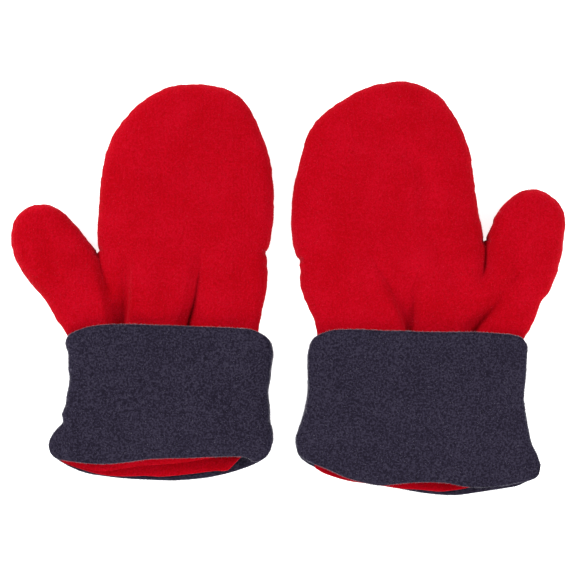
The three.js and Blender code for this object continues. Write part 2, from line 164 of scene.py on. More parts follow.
LEFT = {
    "name": "left",
    "thumb_is_left": False,
    "seams": [
        [(15.5, -115), (17, -106), (19, -94), (19.5, -80), (19.5, -45), (18.3, -30), (15.9, -19), (12.8, -13),
         (9.6, -5), (7.3, 3), (7.6, 11), (6.8, 17.2)],
        [(6.8, 17.2), (4, 23), (2.3, 32), (1.8, 46), (3.2, 62), (7.6, 81), (11.8, 96), (18.6, 106.4),
         (31, 116.6), (49, 126.6), (60, 129.4), (70.6, 130.8), (80, 129.6), (88, 126.2), (95.5, 121.5),
         (103.5, 111.6), (109.4, 101), (114.8, 86), (117, 72), (118.8, 57), (121.4, 42), (124.1, 29.8)],
        [(124.1, 29.8), (127, 36), (130.8, 45.6), (136.8, 53.6), (145, 60.2), (153, 62.6), (161, 61),
         (168.6, 56), (173.6, 48.5), (174.8, 40), (173.8, 30), (172, 18), (168.6, 6.5), (164.4, -3),
         (159.6, -8.8), (158, -13), (155.2, -21), (150.2, -30), (146, -37), (144.6, -55), (144.6, -85),
         (143, -106), (141, -124)],
    ],
    "red_front": [(0, -104), (9, -107), (22, -111.5), (34.7, -117.4), (53.5, -122), (66, -121.4),
                  (82, -120.5), (100, -121), (112, -123), (130, -121), (150, -118)],
    "red_back": [(0, -108), (11.7, -111), (17.2, -113.2), (22.2, -116.2), (28.4, -118.5), (34.7, -120.4),
                 (41, -121.8), (46.7, -122.5), (60.3, -124.5), (69.7, -126), (81.6, -126.6), (87.8, -127.2),
                 (95.7, -127.9), (103.5, -127.2), (109.2, -126.4), (114.5, -125.2), (125, -121), (150, -117)],
    "cuff_left": [(13.9, -34), (12.6, -41), (12.6, -64), (11.6, -72), (9.6, -81), (6.8, -90), (5, -95.5),
                  (5.2, -101)],
    "cuff_right": [(150.6, -35), (150, -46), (149.3, -57), (148.2, -68), (149.3, -78), (151.2, -89),
                   (153.6, -99.5), (157, -106.5), (159, -112.5)],
    "cuff_top": [(13.9, -34), (15, -31.6), (18.4, -29.6), (26.5, -26.9), (36, -26.1), (55, -26.7),
                 (74, -27.5), (100, -27.9), (121, -28), (131, -28.7), (140.5, -29.6), (147.6, -31.8),
                 (150.6, -35)],
    "cuff_front": [(5.2, -101), (6, -104.4), (9.1, -107.3), (15.4, -110.3), (21.6, -112.6), (28, -115.4),
                   (34.7, -118.3), (45.7, -121.6), (57, -123.7), (67, -122.8), (78, -121.8), (92, -121.6),
                   (100, -122.2), (111, -124.5), (124.4, -124.7), (135, -123.8), (145.3, -122), (152, -120.8),
                   (157.6, -117.8), (159, -112.5)],
    "cuff_back": [(5.2, -101), (6.2, -106), (11.7, -110.6), (16.8, -113.2), (28.4, -117.6), (41, -121),
                  (53, -123.3), (60.3, -124.7), (66.5, -126), (74.4, -127.6), (82.8, -129.1), (93, -130.4),
                  (106.2, -131), (116.6, -129.7), (127, -128.1), (137.5, -126.5), (145.3, -125),
                  (151.5, -122), (157.8, -118.4), (159, -112.5)],
    "folds": [
        ([(124.4, 30.4), (124.5, 23), (123.8, 15), (122, 7), (119.4, -1)],
         [3, 4, 3.4, 1.8, 0], 4, 3.4, "crease"),
        ([(124.2, 24), (123.4, 14), (121, 3)], [1, 2.6, 0.6], 4.4, 4.4, "soft"),
        ([(140, 9), (135.4, -1.5), (129, -11.5), (121.8, -20.5), (117.2, -27), (114, -37), (113, -58)],
         [0, 1.8, 4, 6, 7, 6, 0], 6, 4, "soft"),
        ([(47.6, 28), (54.6, 15.6), (61.8, 4.5), (67.6, -9), (72, -21), (74.6, -28), (76, -38), (76, -58)],
         [0, 1.5, 2.2, 2.2, 2, 2, 1.8, 0], 4, 7, "crease"),
        ([(71, 17), (73, 5), (75, -8), (76.8, -21), (77, -32), (77, -60)],
         [0, 2.8, 4.2, 4.8, 4.8, 0], [13, 12, 8.4, 5.2, 4.6, 4.6], [9.4, 8.6, 6.6, 4.6, 4.4, 4.4], "trough"),
        ([(80.8, 14), (80.8, 0), (80.4, -12), (78.8, -24)], [0, 1.2, 1.2, 0.4], 4, 2.4, "soft"),
        ([(87, 20), (90.5, 2), (95, -20)], [-1.4, -1.6, -0.3], 6, 9, "soft"),
        ([(95, 20), (106, 4), (112, -8)], [0, 1.6, 0], 5, 5, "soft"),
        ([(42, 100), (70, 88), (84, 74), (88, 48), (92, 22)], [0, 1.8, 2.8, 2.4, 0.6], 9, 9, "soft"),
        ([(18, 96), (28, 88)], [1, 0.2], 8, 8, "soft"),
        ([(146, 24), (142.6, 8), (138, -3)], [0.3, 3.4, 0.4], 5, 5, "soft"),
        ([(155, 54), (157, 30), (150, 6)], [0.3, 1, 0.6], 7, 7, "soft"),
    ],
    "seed": 11,
}


# ---------------------------------------------------------------- curves, distances and noise

def resampled(line, step):
    """The same polyline with points a step apart."""
    line = np.asarray(line, float)
    lengths = np.r_[0, np.cumsum(np.linalg.norm(np.diff(line, axis=0), axis=1))]
    count = max(2, int(round(lengths[-1] / step)) + 1)
    at = np.linspace(0, lengths[-1], count)
    return np.stack([np.interp(at, lengths, line[:, k]) for k in range(line.shape[1])], axis=1)


def smooth(points, step=1.2):
    """A centripetal Catmull-Rom curve through the points, as a polyline with points a step apart."""
    p = np.asarray(points, float)
    p = np.vstack([2 * p[0] - p[1], p, 2 * p[-1] - p[-2]])
    line = []
    for p0, p1, p2, p3 in zip(p[:-3], p[1:-2], p[2:-1], p[3:]):
        t1 = np.linalg.norm(p1 - p0) ** 0.5
        t2 = t1 + np.linalg.norm(p2 - p1) ** 0.5
        t3 = t2 + np.linalg.norm(p3 - p2) ** 0.5
        t = np.linspace(t1, t2, 12, endpoint=False)[:, None]
        a1 = (t1 - t) / t1 * p0 + t / t1 * p1
        a2 = (t2 - t) / (t2 - t1) * p1 + (t - t1) / (t2 - t1) * p2
        a3 = (t3 - t) / (t3 - t2) * p2 + (t - t2) / (t3 - t2) * p3
        b1 = (t2 - t) / t2 * a1 + t / t2 * a2
        b2 = (t3 - t) / (t3 - t1) * a2 + (t - t1) / (t3 - t1) * a3
        line.append((t2 - t) / (t2 - t1) * b1 + (t - t1) / (t2 - t1) * b2)
    return resampled(np.vstack([*line, p[-2:-1]]), step)


def height_over(points):
    """A smooth curve through points ordered by x, as a function giving y for each x."""
    line = smooth(points, 0.6)
    order = np.argsort(line[:, 0], kind="stable")
    return lambda x: np.interp(x, line[order, 0], line[order, 1])


def across(points):
    """A smooth curve through points ordered by falling y, as a function giving x for each y."""
    line = smooth(points, 0.6)[::-1]
    return lambda y: np.interp(y, line[:, 1], line[:, 0])


def nearest(points, line):
    """For each point: its distance to a polyline, its nearest point there, that one's share of the length, and
    the side it lies on."""
    a, b = line[:-1], line[1:]
    d = b - a
    length = np.linalg.norm(d, axis=1)
    start = np.r_[0, np.cumsum(length)[:-1]] / length.sum()
    out = [np.zeros(len(points)), np.zeros((len(points), 2)), np.zeros(len(points)), np.zeros(len(points))]
    for i in range(0, len(points), 2000):
        p = points[i:i + 2000]
        rel = p[:, None, :] - a[None]
        t = np.clip((rel * d).sum(2) / (d * d).sum(1), 0, 1)
        foot = a[None] + t[..., None] * d[None]
        dist = np.linalg.norm(p[:, None, :] - foot, axis=2)
        k = dist.argmin(1)
        r = np.arange(len(p))
        out[0][i:i + 2000] = dist[r, k]
        out[1][i:i + 2000] = foot[r, k]
        out[2][i:i + 2000] = start[k] + t[r, k] * length[k] / length.sum()
        out[3][i:i + 2000] = np.sign(d[k, 0] * rel[r, k, 1] - d[k, 1] * rel[r, k, 0])
    return out


def inside(points, polygon):
    """Which points lie in a closed polygon."""
    x, y = points[:, 0:1], points[:, 1:2]
    a, b = polygon, np.roll(polygon, -1, axis=0)
    crosses = (a[:, 1] > y) != (b[:, 1] > y)
    with np.errstate(divide="ignore", invalid="ignore"):
        at = a[:, 0] + (y - a[:, 1]) / (b[:, 1] - a[:, 1]) * (b[:, 0] - a[:, 0])
    return (crosses & (x < at)).sum(1) % 2 == 1


def noise(points, size, seed):
    """Smooth lattice noise from -1 to 1, with features of that size."""
    p = np.asarray(points, float) / size + 1000
    cell = np.floor(p).astype(np.int64)
    f = p - cell
    f = f * f * f * (f * (6 * f - 15) + 10)
    total = np.zeros(len(p))
    for corner in range(8):
        bit = np.array([corner & 1, corner >> 1 & 1, corner >> 2 & 1])
        c = cell + bit
        h = (c[:, 0] * 374761393 + c[:, 1] * 668265263 + c[:, 2] * 1440662683 + seed * 974634777) & 0xFFFFFFFF
        h = ((h ^ (h >> 13)) * 1274126177) & 0xFFFFFFFF
        h = ((h ^ (h >> 16)) * 668265263) & 0xFFFFFFFF
        value = ((h >> 8) & 0xFFFF) / 32767.5 - 1
        total += value * np.prod(np.where(bit, f, 1 - f), axis=1)
    return total


def ease(x, low, high):
    """0 below low, 1 above high, smooth between."""
    t = np.clip((np.asarray(x, float) - low) / (high - low), 0, 1)
    return t * t * (3 - 2 * t)


def unit(vectors):
    """The vectors at length 1."""
    return vectors / np.maximum(np.linalg.norm(vectors, axis=-1, keepdims=True), 1e-9)


def quarter_round(d, radius):
    return np.sqrt(1 - (1 - np.clip(d / radius, 0, 1)) ** 2)


# ---------------------------------------------------------------- meshes

def make_object(name, vertices, faces, material):
    """A smooth mesh object from points in millimetres."""
    mesh = bpy.data.meshes.new(name)
    mesh.from_pydata((np.asarray(vertices) * MM).tolist(), [], [list(map(int, f)) for f in faces])
    mesh.validate()
    mesh.shade_smooth()
    mesh.materials.append(material)
    piece = bpy.data.objects.new(name, mesh)
    bpy.context.scene.collection.objects.link(piece)
    return piece


def vertex_normals(vertices, triangles):
    a, b, c = (vertices[triangles[:, k]] for k in range(3))
    n = np.cross(b - a, c - a)
    out = np.zeros_like(vertices)
    for k in range(3):
        np.add.at(out, triangles[:, k], n)
    return unit(out)


def thickened(vertices, triangles, thickness):
    """A closed cloth: the surface, an inner surface behind it, and a rounded rim along every free edge."""
    normals = vertex_normals(vertices, triangles)
    count = len(vertices)
    edges = np.vstack([triangles[:, [0, 1]], triangles[:, [1, 2]], triangles[:, [2, 0]]])
    keys = {tuple(e) for e in edges.tolist()}
    free = np.array([e for e in edges.tolist() if (e[1], e[0]) not in keys])
    out = np.zeros_like(vertices)
    along = vertices[free[:, 1]] - vertices[free[:, 0]]
    side = unit(np.cross(along, normals[free[:, 0]]))
    for k in range(2):
        np.add.at(out, free[:, k], side)
    rim = np.unique(free)
    place = {int(v): i for i, v in enumerate(rim)}
    out = unit(out[rim])
    layers = [vertices, vertices - thickness * normals]
    for depth, reach in ((0.1, 0.16), (0.5, 0.28), (0.9, 0.16)):
        layers.append(vertices[rim] - depth * thickness * normals[rim] + reach * thickness * out)
    faces = triangles.tolist() + (triangles[:, ::-1] + count).tolist()
    for a, b in free.tolist():
        i, j = place[a], place[b]
        ladder = [(a, b)] + [(2 * count + k * len(rim) + i, 2 * count + k * len(rim) + j) for k in range(3)]
        ladder.append((a + count, b + count))
        for (p, q), (r, s) in zip(ladder[:-1], ladder[1:]):
            faces.append([q, p, r, s])
    return np.vstack(layers), faces


def swept(path, up, width, height, corner_steps=3):
    """A strip with rounded edges along a path. Its width lies across the path, its height along up."""
    path = np.asarray(path, float)
    tangent = unit(np.gradient(path, axis=0))
    sideways = unit(np.cross(tangent, np.asarray(up, float) * np.ones_like(path)))
    lift = np.cross(sideways, tangent)
    r = min(width, height) / 2 * 0.98
    section = []
    for k, (sx, sz) in enumerate(((1, 1), (-1, 1), (-1, -1), (1, -1))):
        for i in range(corner_steps + 1):
            angle = math.pi / 2 * (k + i / corner_steps)
            section.append((sx * (width / 2 - r) + r * math.cos(angle),
                            sz * (height / 2 - r) + r * math.sin(angle)))
    section = np.array(section)
    n, m = len(path), len(section)
    vertices = path[:, None] + section[:, :1] * sideways[:, None] + section[:, 1:] * lift[:, None]
    vertices = vertices.reshape(-1, 3)
    faces = [[i * m + k, i * m + (k + 1) % m, (i + 1) * m + (k + 1) % m, (i + 1) * m + k]
             for i in range(n - 1) for k in range(m)]
    faces += [list(range(m))[::-1], [(n - 1) * m + k for k in range(m)]]
    return vertices, faces


def nap(name, vertices, triangles, density, length, material, seed):
    """Loose fibre ends standing out of a surface: thin bent spikes at random places.

    density(points, normals) gives the number of fibres per square millimetre.
    """
    rng = np.random.default_rng(seed)
    a, b, c = (vertices[triangles[:, k]] for k in range(3))
    cross = np.cross(b - a, c - a)
    area = np.linalg.norm(cross, axis=1) / 2
    normal = cross / np.maximum(2 * area, 1e-9)[:, None]
    wanted = area * density((a + b + c) / 3, normal) * 1
    count = rng.poisson(wanted)
    pick = np.repeat(np.arange(len(triangles)), count)
    n = len(pick)
    r1, r2 = np.sqrt(rng.random(n)), rng.random(n)
    root = a[pick] * (1 - r1)[:, None] + b[pick] * (r1 * (1 - r2))[:, None] + c[pick] * (r1 * r2)[:, None]
    lean = rng.normal(0, 0.75, (n, 3))
    way = normal[pick] + lean
    way -= np.minimum((way * normal[pick]).sum(1) - 0.25, 0)[:, None] * normal[pick]
    way = unit(way)
    turn = unit(way + rng.normal(0, 0.7, (n, 3)))
    reach = length * rng.uniform(0.45, 1.2, n)[:, None]
    middle = root + 0.5 * reach * way
    tip = middle + 0.5 * reach * turn
    side = unit(np.cross(way, [0.31, 0.52, 0.79]))
    other = np.cross(way, side)
    layers = []
    for centre, radius in ((root - 0.15 * normal[pick], 0.05), (middle, 0.034)):
        for angle in (0, 2 * math.pi / 3, 4 * math.pi / 3):
            layers.append(centre + radius * (math.cos(angle) * side + math.sin(angle) * other))
    layers.append(tip)
    points = np.stack(layers, axis=1).reshape(-1, 3)
    points[:, 2] = np.maximum(points[:, 2], 0.02)
    shape = [(0, 1, 4, 3), (1, 2, 5, 4), (2, 0, 3, 5), (3, 4, 6), (4, 5, 6), (5, 3, 6), (2, 1, 0)]
    faces = [tuple(7 * i + k for k in face) for i in range(n) for face in shape]
    return make_object(name, points, faces, material)


def joined(parts):
    """Several (vertices, faces) as one."""
    vertices, faces, count = [], [], 0
    for v, f in parts:
        vertices.append(v)
        faces += [[i + count for i in face] for face in f]
        count += len(v)
    return np.vstack(vertices), faces


# ---------------------------------------------------------------- the shape of a mitten

def prepared(spec):
    """The spec with its smooth seam lines, and its fold line from the joint of its cap."""
    m = dict(spec)
    m["lines"] = [uneven(smooth(points), spec["seed"]) for points in spec["seams"]]
    joint = next(j for j in frame["joints"] if j["name"] == spec["name"] + "_cap_flip")
    m["fold_at"] = np.array(joint["pos_m"][:2]) / MM
    m["fold_axis"] = np.array(joint["axis"][:2])
    m["to_fingers"] = np.array([-joint["axis"][1], joint["axis"][0]])
    m["crotch"] = m["lines"][1][0] if spec["thumb_is_left"] else m["lines"][1][-1]
    m["front_edge"] = height_over(spec["red_front"])
    m["back_edge"] = height_over(spec["red_back"])
    return m


def uneven(line, seed):
    """A seam line that wanders a little above the cuff, as a sewn edge of fleece does."""
    flat = np.c_[line, np.zeros(len(line))]
    shows = ease(line[:, 1], WRIST_Y - 8, WRIST_Y)[:, None]
    return line + SEAM_WANDER * shows * np.c_[noise(flat, 3.4, seed + 50), noise(flat, 3.4, seed + 51)]


def past_fold(m, points):
    """Distance of points beyond the fold line, towards the fingertips."""
    return (points[:, :2] - m["fold_at"]) @ m["to_fingers"]


def along_fold(m, points):
    return (points[:, :2] - m["fold_at"]) @ m["fold_axis"]


def is_thumb(m, points):
    """Which points belong to the thumb past the fold line."""
    beyond = past_fold(m, points) > 0
    reach = along_fold(m, m["crotch"][None])[0]
    at = along_fold(m, points)
    return beyond & ((at < reach) if m["thumb_is_left"] else (at > reach))


def seam_height(points):
    """The side seams dip towards the mouth, where the tube lies flatter."""
    return SEAM_Z - MOUTH_SEAM_DIP * ease(-points[:, 1], *MOUTH_SLOPE)


PROFILES = {
    "crease": lambda d: np.exp(-1.3 * d ** 1.5),
    "soft": lambda d: np.exp(-1.6 * d ** 2),
    "trough": lambda d: np.exp(-1.15 * d ** 4),
}


def near_fold(points, path):
    """nearest() for the smooth line of a fold, and where along it the path's own points lie."""
    line = smooth(path, 1.0)
    return nearest(points, line), nearest(np.asarray(path, float), line)[2]


def fold_depth(m, points):
    """How far the folds press the back down."""
    depth = np.zeros(len(points))
    for path, depths, west, east, kind in m["folds"]:
        (d, _, t, side), knots = near_fold(points, path)
        west, east = (np.interp(t, knots, np.broadcast_to(width, len(path))) for width in (west, east))
        d = d / np.where(side > 0, east, west)
        depth += np.interp(t, knots, depths) * PROFILES[kind](d)
    return depth


def pinched(m, points):
    """The creases draw the cloth on both sides of them together."""
    shift = np.zeros((len(points), 2))
    for path, depths, _, _, kind in m["folds"]:
        if kind != "crease":
            continue
        (d, foot, t, _), knots = near_fold(points, path)
        depth = np.interp(t, knots, depths) / max(depths)
        pull = 0.7 * (1 - np.exp(-d / 1.1)) * np.exp(-(d / 4) ** 2) * depth
        shift += (foot - points) / np.maximum(d, 1e-6)[:, None] * pull[:, None]
    return shift


def back_height(m, points, d):
    """Height of the back above the side seams."""
    y = points[:, 1]
    crown = WRIST_CROWN + (CROWN - WRIST_CROWN) * ease(y, WRIST_Y - 3, 16)
    crown = crown - MOUTH_CROWN_DIP * ease(-y, *MOUTH_SLOPE)
    crown = crown - CUFF_CROWN_DIP * (ease(-y, 34, 46) - ease(-y, 94, 108))
    crown = crown - TIP_CROWN_DIP * ease(past_fold(m, points), 60, 105) * (~is_thumb(m, points))
    h = crown * (0.5 * quarter_round(d, 6.5) + 0.5 * (1 - (1 - np.clip(d / 34, 0, 1)) ** 2))
    flat = np.c_[points, np.zeros(len(points))]
    wave = 0.75 * noise(flat, 34, m["seed"]) + 0.4 * noise(flat, 15, m["seed"] + 1)
    show = ease(d, 1, 14)
    hidden = ease(-y, 30, 44)
    h += wave * show * (1 - hidden)
    pressed = fold_depth(m, points) * (1 - 0.45 * hidden) * ease(-y, -200, -50)
    inner = ease(d, 4, 18)
    deepest = 0.3 * h * (1 - inner) * ease(d, 0, 3) - 2.5 * inner
    return np.where(pressed > 0, np.maximum(h - pressed, deepest), h - pressed)


def palm_height(m, points, d, under):
    """Height of a palm side's outer surface: from the side seams down to under."""
    top = seam_height(points) - SEAM_GAP
    return top - (top - under) * (0.62 * quarter_round(d, 6) + 0.38 * quarter_round(d, 16))


def cloth(polygon, seams, surface, up, fine=FINE, creases=(), shift=None):
    """A panel cut to a polygon. Its seam edges roll into the seam, and its other edges are free.

    surface(points, distance to the seam) gives each point's height, and shift(points) moves it sideways. up is
    1 for a back and -1 for a palm side. The points lie closer along the seams and the creases. Returns the
    closed cloth's vertices and faces, then those of its outer surface.
    """
    rows = [np.empty((0, 2))]
    for line in seams:
        inward = unit(np.gradient(line, axis=0))[:, ::-1] * [1, -1]
        for offset in SEAM_ROWS:
            row = line[2:-2] + offset * inward[2:-2]
            keep = np.ones(len(row), bool)
            for other in seams:
                keep &= nearest(row, other)[0] > 0.93 * offset
            rows.append(row[keep])
    for line in creases:
        normal = unit(np.gradient(line, axis=0))[:, ::-1] * [1, -1]
        for offset in CREASE_ROWS:
            row = line + offset * normal
            rows.append(row[np.min([nearest(row, seam)[0] for seam in seams], axis=0) > 3.2])
    low, high = polygon.min(0), polygon.max(0)
    grids = []
    fine_end = WRIST_Y - 4
    for spacing, bottom, top in ((fine, fine_end, high[1]), (COARSE, low[1], fine_end)):
        ys = np.arange(bottom, top, spacing * 0.866)
        xs = np.arange(low[0], high[0], spacing)
        gx, gy = np.meshgrid(xs, ys)
        gx = gx + (np.arange(len(ys))[:, None] % 2) * spacing / 2
        grid = np.c_[gx.ravel(), gy.ravel()]
        grid = grid[inside(grid, polygon)]
        near = np.min([nearest(grid, line)[0] for line in seams], axis=0)
        edge = nearest(grid, np.vstack([polygon, polygon[:1]]))[0]
        keep = (near > SEAM_ROWS[-1] + 0.45 * spacing) & (edge > 0.45 * spacing)
        for line in creases:
            keep &= nearest(grid, line)[0] > max(CREASE_ROWS) + 0.4 * spacing
        grids.append(grid[keep])
    extra = np.vstack(rows)
    extra = extra[inside(extra, polygon)]
    extra = extra[nearest(extra, np.vstack([polygon, polygon[:1]]))[0] > 0.2]
    flat = np.vstack([polygon, extra, *grids])
    ring = list(range(len(polygon)))
    result = delaunay_2d_cdt([Vector(p) for p in flat], [], [ring], 1, 1e-4)
    points = np.array([tuple(v) for v in result[0]])
    triangles = np.array(result[2])
    a, b, c = (points[triangles[:, k]] for k in range(3))
    turn = (b - a)[:, 0] * (c - a)[:, 1] - (b - a)[:, 1] * (c - a)[:, 0]
    flip = turn * up < 0
    triangles[flip] = triangles[flip][:, ::-1]
    found = [nearest(points, line) for line in seams]
    which = np.argmin([f[0] for f in found], axis=0)
    d = np.choose(which, [f[0] for f in found])
    foot = np.stack([np.choose(which, [f[1][:, k] for f in found]) for k in range(2)], axis=1)
    z = surface(points, d)
    inward = middle_direction(points, foot, d, seams, which)
    moved = points + 0.75 * np.clip(1 - d / SEAM_ROWS[0], 0, 1)[:, None] * inward
    if shift:
        moved = moved + shift(points) * ease(d, 1, 5)[:, None]
    outer = np.c_[moved, z]
    return *thickened(outer, triangles, FLEECE), outer, triangles


def middle_direction(points, foot, d, seams, which):
    """The direction from each point's nearest seam into the panel."""
    direction = points - foot
    on_seam = d < 1e-3
    for k, line in enumerate(seams):
        mine = np.where(on_seam & (which == k))[0]
        if not len(mine):
            continue
        at = np.argmin(np.linalg.norm(points[mine][:, None] - line[None], axis=2), axis=1)
        direction[mine] = unit(np.gradient(line, axis=0))[at, ::-1] * [1, -1]
    return unit(direction)


def closed_by_mouth(line, edge):
    """An outline from mouth to mouth, closed along the mouth's edge curve."""
    x0, x1 = line[0, 0], line[-1, 0]
    xs = np.linspace(x1, x0, int(abs(x1 - x0) / EDGE_STEP))[1:-1]
    return np.vstack([line, np.c_[xs, edge(xs)]])


def trimmed(lines, edge):
    """Seam lines whose two ends stop at the mouth's edge curve."""
    lines = [line.copy() for line in lines]
    first, last = lines[0], lines[-1]
    lines[0] = first[first[:, 1] > edge(first[:, 0])]
    lines[-1] = last[last[:, 1] > edge(last[:, 0])]
    return lines


def outline_of(lines):
    """One closed outline's points, without the doubled points where the lines meet."""
    return np.vstack([lines[0]] + [line[1:] for line in lines[1:]])


# ---------------------------------------------------------------- materials

def set_inputs(node, **values):
    """Sets a node's inputs, whose names are written here with _ for each space."""
    for name, value in values.items():
        node.inputs[name.replace("_", " ")].default_value = value


def fleece(name, dark, base, light, sheen, grain, bump, ribs, shade_patchiness=0.07):
    """Brushed fleece: a short nap of clumps whose colour carries painted shade and highlight, faint knit ribs,
    broad patches of painted light and shade, and a soft glow at the edges.

    sheen is its weight, roughness and tint; grain the size of a clump; bump the relief's strength and depth;
    ribs their width and strength.
    """
    material = bpy.data.materials.new(name)
    material.use_nodes = True
    nodes, links = material.node_tree.nodes, material.node_tree.links
    shader = nodes["Principled BSDF"]
    set_inputs(shader, Roughness=0.95, Specular_IOR_Level=0.02, Sheen_Weight=sheen[0],
               Sheen_Roughness=sheen[1], Sheen_Tint=(*sheen[2], 1))
    place = nodes.new("ShaderNodeTexCoord")

    def add_noise(size, detail, roughness, distortion=0.0):
        texture = nodes.new("ShaderNodeTexNoise")
        set_inputs(texture, Scale=1 / (size * MM), Detail=detail, Roughness=roughness, Distortion=distortion)
        links.new(place.outputs["Object"], texture.inputs["Vector"])
        return texture.outputs["Fac"]

    def math_node(operation, first, second):
        node = nodes.new("ShaderNodeMath")
        node.operation = operation
        for socket, value in zip(node.inputs, (first, second)):
            if isinstance(value, (int, float)):
                socket.default_value = value
            else:
                links.new(value, socket)
        return node.outputs[0]

    clumps = add_noise(grain, 0.6, 0.5, 0.5)
    hairs = add_noise(grain * 0.38, 2, 0.6)
    # Broad patches of painted light and shade that stand in for the cloth's soft undulations.
    shade_patches = add_noise(24, 2, 0.5)
    wave = nodes.new("ShaderNodeTexWave")
    wave.bands_direction = "X"
    # The node repeats every 2 pi / 20 of its scale.
    set_inputs(wave, Scale=math.pi / 20 / (ribs[0] * MM), Distortion=1.2, Detail=1, Detail_Scale=0.6)
    links.new(place.outputs["Object"], wave.inputs["Vector"])
    height = math_node("ADD", math_node("MULTIPLY", clumps, 1.0), math_node("MULTIPLY", hairs, 0.55))
    height = math_node("ADD", height, math_node("MULTIPLY", wave.outputs["Fac"], ribs[1]))
    relief = nodes.new("ShaderNodeBump")
    set_inputs(relief, Strength=bump[0], Distance=bump[1] * MM)
    links.new(height, relief.inputs["Height"])
    links.new(relief.outputs["Normal"], shader.inputs["Normal"])
    # The colour follows the same clumps and hairs as the relief: painted shade in the nap's hollows and a
    # painted highlight on its tips.
    painted_shade_tone = math_node("ADD", math_node("MULTIPLY", clumps, 0.62), math_node("MULTIPLY", hairs, 0.38))
    painted_shade_tone = math_node("ADD", painted_shade_tone, math_node("MULTIPLY", math_node("SUBTRACT", shade_patches, 0.5), shade_patchiness))
    ramp = nodes.new("ShaderNodeValToRGB")
    stops = ramp.color_ramp
    stops.elements[0].position = 0.41
    stops.elements[0].color = (*dark, 1)
    stops.elements[1].position = 0.6
    stops.elements[1].color = (*light, 1)
    middle = stops.elements.new(0.5)
    middle.color = (*base, 1)
    links.new(painted_shade_tone, ramp.inputs["Fac"])
    links.new(ramp.outputs["Color"], shader.inputs["Base Color"])
    return material


red = fleece("red_fleece", (0.275, 0.0003, 0.003), (0.31, 0.0005, 0.005), (0.345, 0.0014, 0.009),
             (0.3, 0.3, (1, 0.12, 0.17)), 0.95, (0.85, 0.55), (1.2, 0.22), 0.3)
navy = fleece("navy_fleece", (0.0088, 0.0072, 0.0138), (0.0160, 0.0133, 0.0250), (0.0270, 0.0232, 0.0392),
              (0.45, 0.2, (0.6, 0.6, 0.72)), 1.12, (0.8, 0.5), (1.6, 0.05), 0.12)
# The loose fibres are far lighter than their cloth: a painted highlight that stands in for the light their ends
# catch, and makes a light rim where they gather at the edges.
red_nap_painted_highlight = fleece("red_nap_painted_highlight", (0.42, 0.012, 0.03), (0.5, 0.02, 0.045), (0.58, 0.03, 0.06),
                 (0.4, 0.4, (1, 0.2, 0.25)), 3, (0, 0.1), (2, 0))
navy_nap_painted_highlight = fleece("navy_nap_painted_highlight", (0.1, 0.095, 0.12), (0.15, 0.143, 0.175), (0.21, 0.2, 0.235),
                  (0.5, 0.4, (0.7, 0.7, 0.8)), 3, (0, 0.1), (2, 0))
tape = fleece("red_binding", (0.22, 0.001, 0.004), (0.27, 0.001, 0.006), (0.32, 0.002, 0.009),
              (0.1, 0.4, (1, 0.16, 0.2)), 0.5, (0.6, 0.3), (0.8, 0.9))
elastic = fleece("elastic", (0.52, 0.51, 0.48), (0.64, 0.63, 0.60), (0.72, 0.71, 0.68),
                 (0.05, 0.4, (1, 1, 1)), 0.5, (0.6, 0.3), (0.9, 1.2))
thread = fleece("thread", (0.24, 0.001, 0.005), (0.3, 0.002, 0.008), (0.36, 0.004, 0.012),
                (0.1, 0.4, (1, 0.2, 0.2)), 0.3, (0.3, 0.1), (0.5, 0.2))


# ---------------------------------------------------------------- pieces

def back_piece(m):
    """The back of the hand, the thumb's back and the cap's back, in one cloth."""
    lines = trimmed(m["lines"], m["front_edge"])
    polygon = closed_by_mouth(outline_of(lines), m["front_edge"])

    def surface(points, d):
        sag = 1.6 * ease(m["front_edge"](points[:, 0]) + 6 - points[:, 1], 0, 6)
        z = seam_height(points) + SEAM_GAP + back_height(m, points, d)
        return z - sag * ease(d, 0, 8)

    creases = [smooth(path, 1.0) for path, _, _, _, kind in m["folds"] if kind == "crease"]
    vertices, faces, outer, triangles = cloth(polygon, lines, surface, 1, creases=creases,
                                              shift=lambda points: pinched(m, points))

    # These fibres carry a painted highlight and stand thickest along the seams, as a light rim.
    def density(points, normals):
        to_seam = np.min([nearest(points[:, :2], line)[0] for line in lines], axis=0)
        edges = np.where(to_seam < 5, 4, 0.25)
        return fibres(normals, 0.25, edges) * (points[:, 1] > WRIST_Y + 4)

    fuzz = nap(f"{m['name']}_back_nap", outer, triangles, density, 0.9, red_nap_painted_highlight, m["seed"] + 40)
    return make_object(f"{m['name']}_back", vertices, faces, red), fuzz


def fibres(normals, face_on, edge_on):
    """Fibres per square millimetre: more where the cloth turns over an edge and its nap opens."""
    return face_on + (edge_on - face_on) * ease(1 - np.abs(normals[:, 2]), 0.35, 0.75)


def palm_under(m, points):
    """The palm's underside: over the cap's flap and the cuff's palm side, and on the table at the thumb."""
    y = points[:, 1]
    under = 3.3 + 0.9 * ease(-y, 14, 27) + 1.1 * ease(-y, 98, 110)
    tip = ease(past_fold(m, points), -6, 24) * is_thumb_side(m, points)
    return under * (1 - tip) + 0.5 * tip


def is_thumb_side(m, points):
    reach = along_fold(m, m["crotch"][None])[0]
    at = along_fold(m, points)
    return ease(reach - at if m["thumb_is_left"] else at - reach, 0, 14)


def palm_piece(m):
    """The palm and the thumb's palm side, with a free edge just below the fold line."""
    lines = trimmed(m["lines"], m["back_edge"])
    lines = [lines[0], lines[2]]
    start, end = lines[0][-1], lines[1][0]
    free = []
    for share in np.linspace(0, 1, 90)[1:-1]:
        p = start + share * (end - start)
        free.append(p + (PALM_EDGE - past_fold(m, p[None])[0]) * m["to_fingers"])
    polygon = closed_by_mouth(np.vstack([lines[0], free, lines[1]]), m["back_edge"])

    def surface(points, d):
        return palm_height(m, points, d, palm_under(m, points))

    vertices, faces, _, _ = cloth(polygon, lines, surface, -1, PALM_FINE)
    return make_object(f"{m['name']}_palm_cloth", vertices, faces, red)


